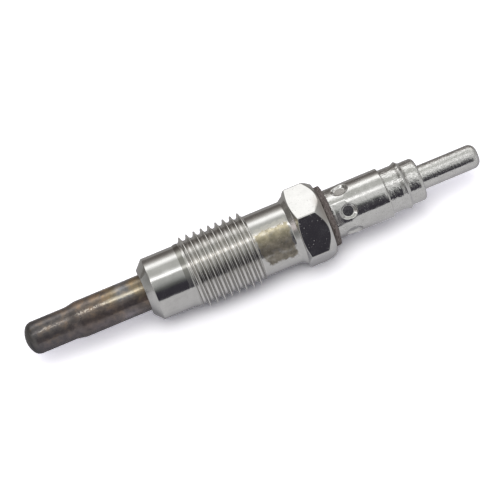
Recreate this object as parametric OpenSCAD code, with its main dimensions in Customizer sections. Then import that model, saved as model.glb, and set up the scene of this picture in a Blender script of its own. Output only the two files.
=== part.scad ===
// Diesel glow plug with a cone seat, an M12 thread and a round push-on terminal.
// The plug lies on a flat surface, on one hexagon flat and its thread, with its axis along X:
// the hot tip is at -X and the terminal pin at +X. Sizes are in millimetres.
// Every sub-part is turned about the Z axis, with the tip at z = 0, and then laid down.

/* [Glow tube] */
// Outer diameter of the glow tube
tube_d = 6.0; // [5.6:0.1:6.6]
// Outer diameter of the swaged tip
tip_d = 5.4; // [4.8:0.1:5.5]
// Length of the swaged tip
tip_len = 7.7; // [6:0.1:11]
// Length of the taper from the tip to the full diameter
swage_len = 1.6; // [0.8:0.1:3]
// Length of the tube that stands out of the housing
tube_out = 20.3; // [16:0.1:26]
// Length of the tube that is pressed into the housing
tube_seat = 17.0; // [14:0.1:18]
// Wall of the tube
tube_wall = 0.6; // [0.4:0.05:0.75]
// Thickness of the closed end
tip_wall = 0.9; // [0.6:0.05:1.4]
// Radius of the domed end
tip_dome = 3.8; // [3.2:0.1:6]
// Corner radius between the domed end and the side of the tip
tip_round = 1.5; // [1:0.1:1.8]

/* [Housing] */
// Small diameter of the sealing cone
seat_d = 7.5; // [7:0.1:8.6]
// Included angle of the sealing cone
seat_angle = 93; // [60:1:120]
// Radial gap of the plain pilot to the crests of the threaded hole that it passes
pilot_gap = 0.17; // [0.05:0.01:0.5]
// Length of the plain pilot
pilot_len = 5.3; // [3:0.1:8]
// Major diameter of the thread
thread_d = 12.0; // [10.8:0.1:13.2]
// Pitch of the thread
thread_pitch = 1.25; // [0.75:0.05:1.5]
// Length of the thread with its lead-in
thread_len = 12.2; // [8:0.1:16]
// Length of the lead-in cone of the thread
thread_lead = 0.9; // [0.4:0.1:1.6]
// How far the plain shank behind the thread lies below the thread's roots
shank_relief = 0.05; // [0.02:0.01:0.4]
// Length of the plain shank
shank_len = 6.1; // [3:0.1:10]
// Length of the hollow curve from the shank to the hexagon
collar_len = 0.9; // [0.4:0.1:1.6]
// Width across the flats of the hexagon
hex_af = 12.0; // [11.8:0.1:13]
// Length of the hexagon
hex_len = 5.0; // [4.2:0.1:8]
// Diameter of the flat back face of the hexagon
hex_face_d = 11.2; // [10.4:0.1:11.6]
// Angle of the back chamfer from the axis
hex_chamfer_angle = 40; // [30:1:60]

/* [Housing bores] */
// Diameter of the clearance bore behind the tube
bore_d = 5.6; // [5.2:0.1:6]
// Diameter of the seal gland in the hexagon
gland_d = 7.4; // [6.8:0.1:8]
// Depth of the seal gland
gland_depth = 3.6; // [3:0.1:5]

/* [Terminal stud and seals] */
// Diameter of the stud from the tube to the cap
stud_d = 4.4; // [4:0.1:4.8]
// Diameter of the stud inside the tube
stud_core_d = 3.2; // [2.6:0.1:3.5]
// Length of the slim nose that the control coil is wound on
nose_len = 2.8; // [1.5:0.1:4]
// Length of the seal inside the tube
seal_len = 3.0; // [1.5:0.1:5]
// Thickness of the seal's lip behind the tube
seal_lip = 0.8; // [0.4:0.1:1.4]
// Radial gap of the parts that slide over each other
fit_gap = 0.05; // [0.02:0.01:0.1]

/* [Coils] */
// Diameter of the coil wire
wire_d = 0.4; // [0.3:0.02:0.5]
// Mean diameter of both coils
coil_d = 2.4; // [2:0.1:2.8]
// Length of the heater coil
heater_len = 7.6; // [5:0.1:10]
// Turns of the heater coil
heater_turns = 8; // [5:1:10]
// Length of the control coil
control_len = 14.4; // [11:0.1:17]
// Turns of the control coil
control_turns = 10; // [7:1:14]

/* [Insulating washer] */
// Outer diameter of the washer
washer_d = 10.4; // [9:0.1:11]
// Thickness of the washer
washer_t = 1.1; // [0.7:0.05:2]
// Radius of the washer's outer edges
washer_round = 0.3; // [0.1:0.05:0.34]

/* [Terminal cap] */
// Diameter of the cap's skirt
skirt_d = 8.3; // [7.8:0.1:9]
// Length of the skirt
skirt_len = 9.75; // [8.4:0.05:14]
// Depth of the hole for the stud
socket_depth = 7.6; // [6:0.1:8]
// Number of crimps round the skirt
crimp_count = 6; // [4:1:8]
// Width across the flats that the crimping jaws leave on the open end of the skirt
crimp_af = 7.6; // [7.2:0.1:8.2]
// Length of these flats, before they run out
crimp_flat_len = 3.2; // [2:0.1:5]
// Diameter of a crimp's mouth
crimp_d = 2.6; // [2:0.1:2.8]
// Diameter of a crimp's flat floor
crimp_floor_d = 1.5; // [0.8:0.1:1.8]
// Depth of a crimp below its flat
crimp_depth = 0.6; // [0.3:0.05:0.8]
// Distance of the crimps from the open end of the skirt
crimp_pos = 2.55; // [1.9:0.05:4]
// Angle from a hexagon flat to the nearest crimp
crimp_turn = -6.5; // [-30:0.5:30]
// Diameter of the neck behind the skirt
neck_d = 7.4; // [6.6:0.1:7.7]
// Length of the neck up to the snap ridge
neck_len = 1.65; // [0.8:0.05:3]
// Diameter of the snap ridge
ridge_d = 8.0; // [7.8:0.1:8.8]
// Length of the ridge's slope on the neck side
ridge_rise = 1.1; // [0.5:0.1:2]
// Length of the ridge's slope on the pin side
ridge_fall = 0.45; // [0.3:0.05:2]
// Diameter of the nose behind the ridge
nose_d = 7.1; // [6.4:0.1:7.7]
// Length of the nose
nose_end_len = 2.55; // [1.5:0.05:4]
// Corner radius of the nose
nose_round = 1.1; // [0.3:0.1:1.3]
// Diameter of the terminal pin
pin_d = 4.0; // [3.4:0.1:5]
// Length of the terminal pin
pin_len = 10.0; // [6:0.1:14]
// Corner radius of the pin's end
pin_round = 1.2; // [0.4:0.1:1.5]

/* [Hidden] */
$fn = 96;

// Thread form of a metric external thread
thread_depth = 0.6134 * thread_pitch;
hole_crest_depth = 0.5413 * thread_pitch;
pilot_d = thread_d - 2 * hole_crest_depth - 2 * pilot_gap;
shank_d = thread_d - 2 * thread_depth - 2 * shank_relief;
crest_flat = thread_pitch / 8;
flank_run = thread_depth * tan(30);
groove_count = floor((thread_len - thread_lead) / thread_pitch);

// Hexagon: the front chamfer leaves the corners at this angle from the axis
hex_corner_d = hex_af / cos(30);
hex_front_angle = 65;
collar_step = 0.2;
collar_d = hex_af - 2 * collar_step;
corner_room = 0.1;

// Hollow curve from the shank to the hexagon, tangent to the shank
collar_sweep = 2 * atan((collar_d - shank_d) / 2 / collar_len);
collar_round = collar_len / sin(collar_sweep);

// Places along the axis, counted from the tip
z_front = tube_out;
z_cone = z_front + (pilot_d - seat_d) / 2 / tan(seat_angle / 2);
z_pilot = z_cone + pilot_len;
z_thread = z_pilot + thread_len;
z_shank = z_thread + shank_len;
z_collar = z_shank + collar_len;
z_hex = z_collar + hex_len;
z_washer = z_hex + washer_t;
z_skirt = z_washer + skirt_len;
z_ridge = z_skirt + neck_len;
z_nose = z_ridge + ridge_rise + ridge_fall;
z_pin = z_nose + nose_end_len;
z_end = z_pin + pin_len;
z_tube_end = tube_out + tube_seat;
z_gland = z_hex - gland_depth;

// Coils and stud
coil_lead = 0.8;
z_coil = tip_wall + coil_lead;
z_heater_end = z_coil + heater_len;
z_control_end = z_heater_end + control_len;
z_stud_core = z_control_end + wire_d;
z_stud_nose = z_control_end - nose_len;
stud_nose_d = coil_d - wire_d - 4 * fit_gap;
stud_step_gap = 0.5;
z_stud_step = z_tube_end + seal_lip + stud_step_gap;
socket_air = 0.3;
z_stud_end = z_washer + socket_depth - socket_air;
stud_chamfer = 0.4;
seal_lip_d = bore_d - 8 * fit_gap;
ring_section = (gland_d - stud_d) / 2 - 2 * fit_gap;

// Edges
cap_edge = 0.45;
jaw_angle = 20;
cut_room = 1;
ridge_flat = 0.15;
drill_point_angle = 118;
arc_steps = 8;
turn_steps = 14;
wire_sides = 6;

// The plug lies on whichever reaches lower, the hexagon or the thread
axis_height = max(hex_af, thread_d) / 2;

// Points [radius, z] of a round corner about a centre, from one angle to another
function arc(r, centre, from, to) =
    [for (i = [0 : arc_steps]) let (a = from + (to - from) * i / arc_steps)
        centre + r * [cos(a), sin(a)]];

function reversed(list) = [for (i = [len(list) - 1 : -1 : 0]) list[i]];

// A list without its first point, where that point ends the curve before it
function rest(list) = [for (i = [1 : len(list) - 1]) list[i]];

// Lays a turned sub-part down, with its axis along X and the plug's middle over the origin
module lay() {
    translate([-z_end / 2, 0, axis_height]) rotate([0, 90, 0]) children();
}

module turned(outline) {
    rotate_extrude() polygon(outline);
}

// Outlines that two sub-parts share

corner_r = tip_d / 2 - tip_round;
corner_z = tip_dome - sqrt(pow(tip_dome - tip_round, 2) - pow(corner_r, 2));
dome_end = asin(corner_r / (tip_dome - tip_round)) - 90;

function tube_outside() = concat(
    arc(tip_dome, [0, tip_dome], -90, dome_end),
    rest(arc(tip_round, [corner_r, corner_z], dome_end, 0)),
    [[tip_d / 2, tip_len], [tube_d / 2, tip_len + swage_len], [tube_d / 2, z_tube_end]]);

tip_round_inside = max(tip_round - tube_wall, 0.2);

function tube_inside() = concat(
    [[0, tip_wall]],
    arc(tip_round_inside, [tip_d / 2 - tube_wall - tip_round_inside, tip_wall + tip_round_inside], -90, 0),
    [[tip_d / 2 - tube_wall, tip_len], [tube_d / 2 - tube_wall, tip_len + swage_len]]);

function stud_front() = [
    [0, z_stud_nose], [stud_nose_d / 2, z_stud_nose],
    [stud_nose_d / 2, z_stud_core], [stud_core_d / 2, z_stud_core]];

// Housing: one turned steel body with six flats

function thread_grooves() = [
    for (i = [0 : groove_count - 1])
        let (z = z_pilot + thread_lead + crest_flat / 2 + i * thread_pitch)
        each [[thread_d / 2, z],
              [thread_d / 2 - thread_depth, z + flank_run],
              [thread_d / 2 - thread_depth, z + thread_pitch - crest_flat - flank_run],
              [thread_d / 2, z + thread_pitch - crest_flat]]];

function hexagon_outline() =
    let (r = hex_corner_d / 2 + corner_room)
    [[r, z_collar + (r - collar_d / 2) / tan(hex_front_angle)],
     [r, z_hex - (r - hex_face_d / 2) / tan(hex_chamfer_angle)],
     [hex_face_d / 2, z_hex]];

function housing_outline() = concat(
    [[tube_d / 2, z_front], [seat_d / 2, z_front], [pilot_d / 2, z_cone], [pilot_d / 2, z_pilot],
     [thread_d / 2, z_pilot + thread_lead]],
    thread_grooves(),
    [[thread_d / 2, z_thread], [shank_d / 2, z_thread]],
    arc(collar_round, [shank_d / 2 + collar_round, z_shank], 180, 180 - collar_sweep),
    hexagon_outline(),
    [[gland_d / 2, z_hex], [gland_d / 2, z_gland], [bore_d / 2, z_gland],
     [bore_d / 2, z_tube_end], [tube_d / 2, z_tube_end]]);

module hexagon_flats() {
    for (i = [0 : 5])
        rotate(60 * i)
            translate([hex_af / 2, -hex_corner_d, z_shank])
                cube([hex_corner_d, 2 * hex_corner_d, z_hex - z_shank + 1]);
}

module housing() {
    color("silver") lay() difference() {
        turned(housing_outline());
        hexagon_flats();
    }
}

// Glow tube: a closed sheath, swaged to a smaller diameter at its tip

module glow_tube() {
    color("#5b5048") lay()
        turned(concat(tube_outside(), [[tube_d / 2 - tube_wall, z_tube_end]], reversed(tube_inside())));
}

// Coils: one line of wire, the heater coil in front and the control coil behind it.
// The wire leaves the tip on the axis and opens to the coil's radius in half a turn.

heater_steps = heater_turns * turn_steps;
control_steps = control_turns * turn_steps;
lead_steps = 2;
opening_steps = turn_steps / 2;
joint_step = lead_steps + opening_steps + heater_steps;
last_step = joint_step + control_steps;
opening_len = heater_len / (heater_turns + 1);

function wire_turn(i) = 360 / turn_steps * max(i - lead_steps, 0);

function wire_radius(i) =
    let (share = min(max((i - lead_steps) / opening_steps, 0), 1))
    coil_d / 2 * (1 - cos(180 * share)) / 2;

function wire_z(i) =
    i <= lead_steps ? tip_wall + coil_lead * i / lead_steps :
    i <= lead_steps + opening_steps ? z_coil + opening_len * (i - lead_steps) / opening_steps :
    i <= joint_step ?
        z_heater_end - (heater_len - opening_len) * (joint_step - i) / heater_steps :
        z_heater_end + control_len * (i - joint_step) / control_steps;

function wire_point(i) =
    [wire_radius(i) * cos(wire_turn(i)), wire_radius(i) * sin(wire_turn(i)), wire_z(i)];

function unit(v) = v / norm(v);

// One ring of points round the wire, square to the way the wire runs
function wire_ring(i) =
    let (ahead = i < last_step ? wire_point(i + 1) : wire_point(i),
         behind = i > 0 ? wire_point(i - 1) : wire_point(i),
         along = i < lead_steps ? [0, 0, 1] : unit(ahead - behind),
         outward = [cos(wire_turn(i)), sin(wire_turn(i)), 0],
         side = unit(outward - (outward * along) * along),
         other = cross(along, side))
    [for (k = [0 : wire_sides - 1]) let (a = 360 * k / wire_sides)
        wire_point(i) + wire_d / 2 * (cos(a) * side + sin(a) * other)];

module wire(first, last) {
    rings = last - first;
    points = [for (i = [first : last]) each wire_ring(i)];
    walls = [for (i = [0 : rings - 1], k = [0 : wire_sides - 1])
        let (a = i * wire_sides + k, b = i * wire_sides + (k + 1) % wire_sides)
        each [[a, a + wire_sides, b + wire_sides], [a, b + wire_sides, b]]];
    front = [for (k = [0 : wire_sides - 1]) k];
    back = [for (k = [wire_sides - 1 : -1 : 0]) rings * wire_sides + k];
    polyhedron(points, concat(walls, [front, back]));
}

module heater_coil() {
    color("dimgray") lay() wire(0, joint_step);
}

module control_coil() {
    color("gray") lay() wire(joint_step, last_step);
}

// Insulating powder: pressed magnesium oxide that fills the tube round the coils and the stud

module insulating_powder() {
    seal_front = z_tube_end - seal_len;
    color("ivory") lay() difference() {
        turned(concat(
            tube_inside(),
            [[tube_d / 2 - tube_wall, seal_front], [stud_core_d / 2, seal_front]],
            reversed(stud_front())));
        wire(0, joint_step);
        wire(joint_step, last_step);
    }
}

// Terminal stud: carries the current from the cap to the control coil

module terminal_stud() {
    color("darkgray") lay() turned(concat(
        stud_front(),
        [[stud_core_d / 2, z_stud_step], [stud_d / 2, z_stud_step],
         [stud_d / 2, z_stud_end - stud_chamfer],
         [stud_d / 2 - stud_chamfer, z_stud_end], [0, z_stud_end]]));
}

// Tube seal: a rubber plug that closes the tube round the stud, with a lip behind it

module tube_seal() {
    color("#3a2a22") lay() turned([
        [stud_core_d / 2, z_tube_end - seal_len], [tube_d / 2 - tube_wall, z_tube_end - seal_len],
        [tube_d / 2 - tube_wall, z_tube_end], [seal_lip_d / 2, z_tube_end],
        [seal_lip_d / 2, z_tube_end + seal_lip], [stud_core_d / 2, z_tube_end + seal_lip]]);
}

// O-ring: lies at the bottom of the gland, under the washer's collar

module o_ring() {
    color("#202020") lay() rotate_extrude()
        translate([(gland_d + stud_d) / 4, z_gland + ring_section / 2]) circle(d = ring_section);
}

// Insulating washer: its collar centres the stud in the gland

module insulating_washer() {
    r = washer_d / 2 - washer_round;
    color("#4a3830") lay() turned(concat(
        [[stud_d / 2 + fit_gap, z_gland + ring_section], [gland_d / 2 - fit_gap, z_gland + ring_section],
         [gland_d / 2 - fit_gap, z_hex]],
        arc(washer_round, [r, z_hex + washer_round], -90, 0),
        arc(washer_round, [r, z_washer - washer_round], 0, 90),
        [[stud_d / 2 + fit_gap, z_washer]]));
}

// Terminal cap: skirt, neck, snap ridge, nose and pin, turned in one piece and crimped on the stud

function cap_outline() = concat(
    [[stud_d / 2, z_washer], [skirt_d / 2, z_washer]],
    arc(cap_edge, [skirt_d / 2 - cap_edge, z_skirt - cap_edge], 0, 90),
    [[neck_d / 2, z_skirt], [neck_d / 2, z_ridge],
     [ridge_d / 2, z_ridge + ridge_rise - ridge_flat / 2],
     [ridge_d / 2, z_ridge + ridge_rise + ridge_flat / 2],
     [nose_d / 2, z_nose]],
    arc(nose_round, [nose_d / 2 - nose_round, z_pin - nose_round], 0, 90),
    [[pin_d / 2, z_pin]],
    arc(pin_round, [pin_d / 2 - pin_round, z_end - pin_round], 0, 90),
    [[0, z_end], [0, z_washer + socket_depth + stud_d / 2 / tan(drill_point_angle / 2)],
     [stud_d / 2, z_washer + socket_depth]]);

// One crimping jaw: a flat that runs out along the skirt, with a flat-ended punch in its middle
module crimp_jaw() {
    flat_r = crimp_af / 2;
    floor_r = flat_r - crimp_depth;
    reach = skirt_d / 2 + cut_room;
    z_flat = z_washer + crimp_flat_len;
    widening = (crimp_d - crimp_floor_d) / crimp_depth;
    rotate([90, 0, 0]) linear_extrude(2 * reach, center = true) polygon([
        [flat_r, z_washer - cut_room], [flat_r, z_flat],
        [reach, z_flat + (reach - flat_r) / tan(jaw_angle)], [reach, z_washer - cut_room]]);
    translate([floor_r, 0, z_washer + crimp_pos]) rotate([0, 90, 0])
        cylinder(h = reach - floor_r, d1 = crimp_floor_d, d2 = crimp_floor_d + widening * (reach - floor_r));
}

module crimps() {
    for (i = [0 : crimp_count - 1])
        rotate(crimp_turn + 360 * i / crimp_count) crimp_jaw();
}

module terminal_cap() {
    color("gainsboro") lay() difference() {
        turned(cap_outline());
        crimps();
    }
}

housing();
glow_tube();
heater_coil();
control_coil();
insulating_powder();
terminal_stud();
tube_seal();
o_ring();
insulating_washer();
terminal_cap();
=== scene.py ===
# %% [markdown]
# # A diesel glow plug
# This lesson dresses a used glow plug that lies on a white table: a nickel plated steel housing,
# a heat-tinted glow tube, a brown washer and a crimped terminal cap. The solids come from CAD
# and fix every size. Blender adds what the solids leave out: the wound thread, broken edges,
# dents and the finishes. We load the frame first, so each new piece goes where the CAD says.

# %% Load the frame
import math
import bpy
import bmesh
import numpy as np
from mathutils import Matrix, Vector


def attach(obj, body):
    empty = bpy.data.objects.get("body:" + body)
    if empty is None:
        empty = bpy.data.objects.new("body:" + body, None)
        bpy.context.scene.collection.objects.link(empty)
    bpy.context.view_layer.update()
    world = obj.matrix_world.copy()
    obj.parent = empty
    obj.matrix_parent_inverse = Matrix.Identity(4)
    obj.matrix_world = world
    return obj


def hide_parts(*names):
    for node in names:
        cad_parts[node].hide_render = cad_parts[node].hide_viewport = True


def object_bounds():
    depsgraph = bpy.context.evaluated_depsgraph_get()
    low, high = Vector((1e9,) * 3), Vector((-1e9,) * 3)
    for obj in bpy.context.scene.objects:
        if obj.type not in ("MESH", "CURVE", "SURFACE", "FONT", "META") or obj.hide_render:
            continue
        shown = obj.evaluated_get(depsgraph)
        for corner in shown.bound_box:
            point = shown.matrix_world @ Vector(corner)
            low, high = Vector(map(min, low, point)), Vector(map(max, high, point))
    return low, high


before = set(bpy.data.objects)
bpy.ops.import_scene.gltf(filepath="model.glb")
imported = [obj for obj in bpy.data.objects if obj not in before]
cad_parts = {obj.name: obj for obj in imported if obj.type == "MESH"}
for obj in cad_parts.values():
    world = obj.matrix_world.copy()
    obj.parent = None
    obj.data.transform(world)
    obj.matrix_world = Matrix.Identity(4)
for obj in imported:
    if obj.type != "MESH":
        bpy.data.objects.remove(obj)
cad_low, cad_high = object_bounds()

MM = 0.001  # Blender counts in metres
print("solids in the frame:", ", ".join(sorted(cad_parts)))
print("box of the solids in mm:", [round(v / MM, 2) for v in cad_high - cad_low])

# %% [markdown]
# ## One ruler for the whole plug
# Everything on a plug is turned about one axis, so a maker's drawing counts along that axis.
# We do the same: millimetres from the tip of the tube, and the radius at each place. Blender
# counts in metres, and the frame's origin lies under the middle of the plug, so one small
# function turns "so far along, this radius, this far round" into a point of the frame.

# %% Places along the axis
LENGTH = (cad_high.x - cad_low.x) / MM
AXIS_UP = (cad_high.z - cad_low.z) / MM / 2

FRONT = 20.3  # the housing starts, and the tube comes out of it
CONE_END = 21.632
THREAD_START = 26.932
THREAD_END = 39.132
SHANK_END = 45.232
COLLAR_END = 46.132
HEX_END = 51.132
WASHER_END = 52.232
SKIRT_END = 61.68
RIDGE_START = 63.95
RIDGE_END = 65.182
NOSE_END = 67.732
TUBE_END = 37.3  # inside the housing
GLAND_START = 47.532  # the widened bore in the hexagon


def spot(along, radius, turn):
    """Points of the frame, in metres. A turn of 0 faces +Y, and a quarter turn faces up."""
    along, radius, turn = np.broadcast_arrays(along, radius, turn)
    x = along - LENGTH / 2
    y = radius * np.cos(turn)
    z = AXIS_UP + radius * np.sin(turn)
    return np.stack([x, y, z], axis=-1) * MM


print("plug length %.2f mm, axis %.2f mm above the table" % (LENGTH, AXIS_UP))

# %% [markdown]
# ## The camera
# The picture looks down on the plug at a bit under fifty degrees, and the camera is rolled so the
# plug climbs to the upper right. We could push a camera round by hand. It is surer to build its
# three directions from the angles. A long lens keeps the far end nearly as large as the near.

# %% Set up the camera


def put(name, data):
    """A new object in the scene."""
    thing = bpy.data.objects.new(name, data)
    bpy.context.collection.objects.link(thing)
    return thing


DISTANCE = 480 * MM
HALF_WIDTH = 39.7 * MM  # what the picture shows to each side of its middle
SENSOR = 36.0
AIM_ALONG, AIM_DROP = 38.3, 0.21  # the picture's middle, just below the axis
swing, height, roll = math.radians(3.6), math.radians(48.5), math.radians(22.6)

look = Vector((math.sin(swing), math.cos(swing) * math.cos(height), -math.cos(swing) * math.sin(height)))
axis = Vector((1, 0, 0))
axis_in_picture = (axis - axis.dot(look) * look).normalized()
square_to_axis = (-look).cross(axis_in_picture)
right = math.cos(roll) * axis_in_picture - math.sin(roll) * square_to_axis
up = math.sin(roll) * axis_in_picture + math.cos(roll) * square_to_axis
aim = Vector(spot(AIM_ALONG, 0.0, 0.0)) - AIM_DROP * MM * square_to_axis
directions = Matrix((right, up, -look)).transposed().to_4x4()

lens = bpy.data.cameras.new("picture_camera")
lens.sensor_width = SENSOR
lens.lens = SENSOR / 2 * DISTANCE / HALF_WIDTH
lens.clip_start, lens.clip_end = 0.01, 10.0
camera = put("picture_camera", lens)
camera.matrix_world = Matrix.Translation(aim - DISTANCE * look) @ directions
bpy.context.scene.camera = camera
bpy.context.scene.view_settings.view_transform = "Standard"
print("lens %.0f mm, camera at" % lens.lens, [round(v, 3) for v in camera.matrix_world.translation])

# %% [markdown]
# ## Shader nodes in a few words
# Every finish below is a small net of shader nodes. Typing out each node and link by hand takes
# many lines that hide the idea, so a few helpers do it. A value that is a socket gets a link, and
# any other value is written straight on the socket. A socket also knows which net it belongs to, so
# most helpers find out by themselves where a new node goes.

# %% Helpers for finishes


def start_finish(name):
    """A new finish, its net of nodes and its main shader."""
    finish = bpy.data.materials.new(name)
    finish.use_nodes = True
    return finish, finish.node_tree, finish.node_tree.nodes["Principled BSDF"]


def fill(socket, value):
    if isinstance(value, bpy.types.NodeSocket):
        socket.id_data.links.new(value, socket)
    else:
        socket.default_value = value


def add(tree, kind, values, out=0, **settings):
    """A new node. values maps a socket's name or number to a value, and out picks the output."""
    node = tree.nodes.new(kind)
    for name, value in settings.items():
        setattr(node, name, value)
    for key, value in values.items():
        fill(node.inputs[key], value)
    return node.outputs[out]


def tree_of(*values):
    """The net that the first socket among the values belongs to."""
    return next(value.id_data for value in values if isinstance(value, bpy.types.NodeSocket))


def sums(operation, *values):
    """One step of arithmetic."""
    return add(tree_of(*values), "ShaderNodeMath", dict(enumerate(values)), operation=operation)


def times(first, *others):
    """The product of all the values."""
    for other in others:
        first = sums("MULTIPLY", first, other)
    return first


def ramp(factor, *stops):
    """A colour ramp from (place, colour) pairs. A single number stands for a grey."""
    node = factor.id_data.nodes.new("ShaderNodeValToRGB")
    while len(node.color_ramp.elements) < len(stops):
        node.color_ramp.elements.new(0.5)
    for element, (place, colour) in zip(node.color_ramp.elements, stops):
        element.position = place
        element.color = (*colour, 1) if isinstance(colour, tuple) else (colour, colour, colour, 1)
    fill(node.inputs["Fac"], factor)
    return node.outputs["Color"]


def mixed(factor, one, other, how="MIX"):
    """Two colours mixed, or multiplied and so on."""
    values = {0: factor, 6: one, 7: other}
    return add(tree_of(factor, one), "ShaderNodeMix", values, out=2, data_type="RGBA", blend_type=how)


def span(value, low, high, to_low=0.0, to_high=1.0):
    """value stretched from low..high to another range, and held there."""
    return add(value.id_data, "ShaderNodeMapRange", {0: value, 1: low, 2: high, 3: to_low, 4: to_high})


def own_place(tree):
    """The coordinates of the piece itself, in metres."""
    return add(tree, "ShaderNodeTexCoord", {}, out="Object")


print("helpers for finishes are ready")

# %% [markdown]
# ## The table
# A product picture like this is taken on paper that comes out pure white. We could light a sheet
# until it does, but that would wash out the metal. So the sheet is brighter to the camera and in
# reflections than for the light that bounces on from it.

# %% Lay the table
HAIR = 0.00001  # metres, so that no two sheets lie in one plane
TABLE_REACH = 1.5


def seen_rays(tree):
    """1 for what the camera, a reflection or clear glass looks at, 0 for light that bounces on."""
    rays = tree.nodes.new("ShaderNodeLightPath")
    seen = sums("MAXIMUM", rays.outputs["Is Camera Ray"], rays.outputs["Is Glossy Ray"])
    return sums("MAXIMUM", seen, rays.outputs["Is Transmission Ray"])


def flat_sheet(half_length, half_width, z=0.0):
    """The corners and the one face of a level sheet."""
    signs = ((-1, -1), (1, -1), (1, 1), (-1, 1))
    return [(x * half_length, y * half_width, z) for x, y in signs], [(0, 1, 2, 3)]


table_mesh = bpy.data.meshes.new("table")
corners, face = flat_sheet(TABLE_REACH, TABLE_REACH)
table_mesh.from_pydata(corners, [], face)
table = put("table", table_mesh)
table.location.z = -HAIR

table_white, tree, shader = start_finish("white table")
tree.nodes.remove(shader)
paper = add(tree, "ShaderNodeBsdfDiffuse", {"Color": (0.96, 0.96, 0.96, 1)})
lift = add(tree, "ShaderNodeBsdfDiffuse", {"Color": (0.76, 0.76, 0.76, 1)})
white = add(tree, "ShaderNodeAddShader", {0: paper, 1: lift})
seen = add(tree, "ShaderNodeMixShader", {0: seen_rays(tree), 1: paper, 2: white})
tree.links.new(seen, tree.nodes["Material Output"].inputs["Surface"])
table_mesh.materials.append(table_white)
print("table lies at z = %.5f m" % table.location.z)

# %% [markdown]
# ## Lamp and sky
# Soft light comes from a wide lamp or a tent of cloth. One sun lamp with a wide angle, on the
# camera's side, keeps the shadow soft and close under the plug. The sky fills it: white where it is
# seen and slightly violet as light, like the shadow in the picture.

# %% Hang the lamp and the sky
lamp_data = bpy.data.lights.new("soft_lamp", "SUN")
lamp_data.energy = 0.9
lamp_data.angle = math.radians(47)
lamp_data.color = (1.0, 0.995, 0.96)
lamp = put("soft_lamp", lamp_data)
lamp_from = Vector((-0.05, -0.385, 1.0))
lamp.rotation_euler = lamp_from.to_track_quat("Z", "Y").to_euler()
lamp.visible_glossy = False

sky = bpy.data.worlds.new("white_studio")
bpy.context.scene.world = sky
sky.use_nodes = True
tree = sky.node_tree
sky_colour = mixed(seen_rays(tree), (0.593, 0.582, 0.635, 1), (1, 1, 1, 1))
fill(tree.nodes["Background"].inputs["Color"], sky_colour)
print("lamp from", [round(v, 2) for v in lamp_from.normalized()], "and a white sky")

# %% [markdown]
# ## A card over the plug
# Bright metal shows the room. So a maker of such pictures puts dark and pale cards round the object,
# and their edges are the bands that we see on it. A lamp for each band would light the table
# unevenly, so we bend one painted sheet over the plug that only reflections can see. Its bands
# change beside the cap and the pin, and its bright strips end far out past the tip.

# %% A card that only reflections see
CARD_RADIUS = 0.22
CARD_HALF_LENGTH = 0.34
CARD_STEPS = 48


def hang_card(name, points, faces, paint):
    """A card that only reflections see, with the colour that paint(place) gives it."""
    mesh = bpy.data.meshes.new(name)
    mesh.from_pydata(points, [], faces)
    card = put(name, mesh)
    card.visible_camera = card.visible_diffuse = card.visible_shadow = card.visible_transmission = False
    finish, tree, shader = start_finish(name + " paint")
    tree.nodes.remove(shader)
    place = tree.nodes.new("ShaderNodeSeparateXYZ")
    fill(place.inputs[0], own_place(tree))
    bounced = add(tree, "ShaderNodeLightPath", {}, out="Diffuse Depth")
    shown = sums("LESS_THAN", bounced, 0.5)  # a card sheds no light on the table
    glow = add(tree, "ShaderNodeEmission", {"Color": paint(place.outputs), "Strength": shown})
    tree.links.new(glow, tree.nodes["Material Output"].inputs["Surface"])
    mesh.materials.append(finish)
    print("card hung:", name)


print("cards bend round the plug at %.0f mm" % (CARD_RADIUS / MM))

# %% Choose the bands
DARK, GREY, BEHIND = (0.05, 0.047, 0.058), (0.66, 0.665, 0.635), (0.185, 0.17, 0.16)
NEAR_STRIP, FAR_STRIP, CAP_STRIP = (2.2, 2.2, 2.18), (1.64, 1.64, 1.62), (1.5, 1.5, 1.48)
STRIP_EDGE, STRIPS_OUT, OUTER = (0.95, 0.95, 0.94), (0.205, 0.197, 0.182), (0.6, 0.6, 0.59)
# (degrees up from the table on the camera's side, colour)
OVER_TOP = (
    (93, GREY), (115, GREY), (127, FAR_STRIP), (135, FAR_STRIP), (143, (0.82, 0.8, 0.77)),
    (154, (0.34, 0.32, 0.3)), (164, BEHIND), (180, BEHIND))
BY_HOUSING = (
    (0, DARK), (30, DARK), (40, (0.15, 0.155, 0.15)), (49, (0.36, 0.37, 0.36)), (58, (0.54, 0.55, 0.53)),
    (72, (0.66, 0.67, 0.65)), (76.5, NEAR_STRIP), (81, NEAR_STRIP), (86, STRIP_EDGE)) + OVER_TOP
BY_CAP = (
    (0, DARK), (35, DARK), (40, (0.075, 0.08, 0.08)), (48, (0.42, 0.43, 0.42)), (53, (0.86, 0.865, 0.85)),
    (70, (0.9, 0.9, 0.89)), (76.5, CAP_STRIP), (81, CAP_STRIP), (86, STRIP_EDGE)) + OVER_TOP
BY_PIN = (
    (0, DARK), (13, DARK), (22, (0.2, 0.205, 0.2)), (30, (0.46, 0.465, 0.46)), (38, (0.8, 0.805, 0.795)),
    (70, (0.84, 0.84, 0.83)), (76.5, CAP_STRIP), (81, CAP_STRIP), (86, STRIP_EDGE)) + OVER_TOP
print("bands of each kind:", len(BY_HOUSING), len(BY_CAP), len(BY_PIN))

# %% Bend the card over the plug
# where each change starts and ends, in metres along the plug or as an angle
CAP_FROM, PIN_FROM, TIP_PAST, OUTER_FROM = (0.03, 0.038), (0.05, 0.062), (-0.13, -0.19), (0.09, 0.16)
STRIPS_FROM = math.radians(84), math.radians(92)
LAMPS_FROM = math.radians(66), math.radians(70)


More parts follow.
